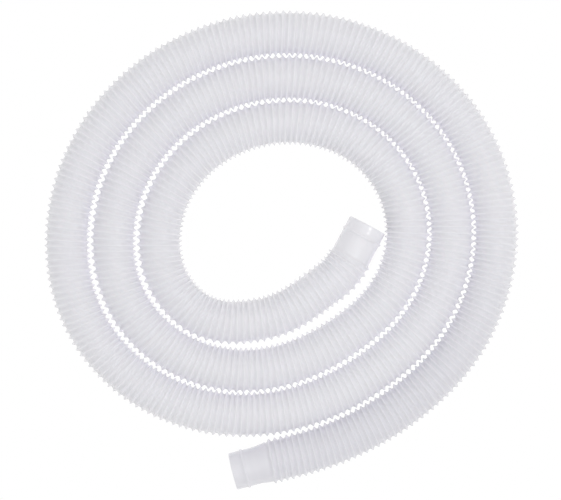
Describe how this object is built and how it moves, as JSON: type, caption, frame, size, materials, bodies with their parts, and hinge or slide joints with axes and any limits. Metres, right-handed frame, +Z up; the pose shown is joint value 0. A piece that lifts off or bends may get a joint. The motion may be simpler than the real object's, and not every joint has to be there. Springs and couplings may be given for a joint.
{
  "type": "pool pump hose",
  "caption": "Ribbed milky plastic pool pump hose with a smooth cuff at each end, lying flat in a spiral of a few turns.",
  "frame": {"origin": "on the floor under the middle of the coil's outline", "axes": "+Z up, out of the coil's plane; the cuff at the coil's outer end points along -X"},
  "size_m": [0.4354, 0.4246, 0.04],
  "materials": {
    "milky_polyethylene": "satin, milky translucent"
  },
  "bodies": {
    "root": {"hose": "milky_polyethylene"}
  },
  "joints": []
}
